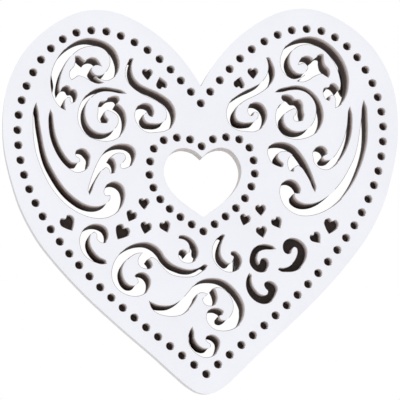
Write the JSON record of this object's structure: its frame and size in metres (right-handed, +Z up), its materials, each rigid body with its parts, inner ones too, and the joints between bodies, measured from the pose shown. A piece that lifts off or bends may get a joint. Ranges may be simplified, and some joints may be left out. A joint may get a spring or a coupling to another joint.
{
  "type": "wind-up music box",
  "caption": "Pierced white heart on a shallow hollow case with a heart opening right through it, a clockwork musical movement inside and its winding key in a recess at the back.",
  "frame": {"origin": "on the rim that rests on the wall, under the notch of the heart", "axes": "+X to the viewer's right across the heart, -Y out of the wall towards the viewer, +Z up"},
  "size_m": [0.2494, 0.05, 0.242],
  "materials": {
    "white_paint": "satin white paint on fibreboard",
    "raw_board": "unpainted dark fibreboard",
    "steel": "bright steel",
    "spring_steel": "polished hardened steel",
    "brass": "turned brass",
    "zinc": "fine grey casting",
    "nylon": "natural nylon"
  },
  "bodies": {
    "case": {"front_panel": "white_paint", "front_core": "raw_board", "cover_rim": "white_paint", "heart_sleeve": "white_paint", "tray_rim": "white_paint", "heart_collar": "white_paint", "back_panel": "raw_board", "screw_post_1": "nylon", "screw_post_2": "nylon", "screw_post_3": "nylon", "screw_post_4": "nylon", "screw_post_5": "nylon", "case_screw_1": "steel", "case_screw_2": "steel", "case_screw_3": "steel", "case_screw_4": "steel", "case_screw_5": "steel", "hanger_plate": "steel", "hanger_screw_1": "steel", "hanger_screw_2": "steel", "bedplate": "zinc", "movement_screw_1": "steel", "movement_screw_2": "steel", "movement_screw_3": "steel", "click_stud": "steel", "click_spring": "spring_steel", "left_bracket": "steel", "governor_frame": "steel", "comb_base": "zinc", "comb": "spring_steel", "comb_screw_1": "steel", "comb_screw_2": "steel"},
    "barrel": {"barrel": "brass", "barrel_lid": "brass", "mainspring": "spring_steel"},
    "winding": {"winding_arbor": "steel", "ratchet_wheel": "steel", "winding_key": "brass"},
    "click": {"click": "steel"},
    "cylinder": {"pinned_cylinder": "brass", "cylinder_arbor": "steel", "cylinder_pinion": "brass", "cylinder_gear": "brass"},
    "second_shaft": {"second_arbor": "steel", "second_pinion": "brass", "second_wheel": "brass"},
    "governor": {"worm": "steel", "air_brake_fan": "nylon"}
  },
  "joints": [
    {"name": "play", "type": "hinge", "parent": "case", "child": "barrel", "pos_m": [0.036, -0.0163, -0.0905], "axis": [0, 1, 0], "continuous": true},
    {"name": "wind", "type": "hinge", "parent": "case", "child": "winding", "pos_m": [0.036, -0.0163, -0.0905], "axis": [0, 1, 0], "range_deg": [0, 2520]},
    {"name": "click_pivot", "type": "hinge", "parent": "case", "child": "click", "pos_m": [0.0436, -0.0163, -0.0865], "axis": [0, -1, 0], "range_deg": [-5, 4], "stiffness_Nm_per_rad": 0.002},
    {"name": "cylinder_turn", "type": "hinge", "parent": "case", "child": "cylinder", "pos_m": [0.0475, -0.0327, -0.0905], "axis": [-1, 0, 0], "continuous": true},
    {"name": "second_turn", "type": "hinge", "parent": "case", "child": "second_shaft", "pos_m": [0.0475, -0.02815, -0.08262], "axis": [1, 0, 0], "continuous": true},
    {"name": "governor_turn", "type": "hinge", "parent": "case", "child": "governor", "pos_m": [0.0701, -0.02815, -0.07577], "axis": [0, 1, 0], "continuous": true}
  ],
  "couplings": [
    {"joint": "cylinder_turn", "follows": "play", "ratio": 3},
    {"joint": "second_turn", "follows": "play", "ratio": 9},
    {"joint": "governor_turn", "follows": "play", "ratio": 216}
  ]
}
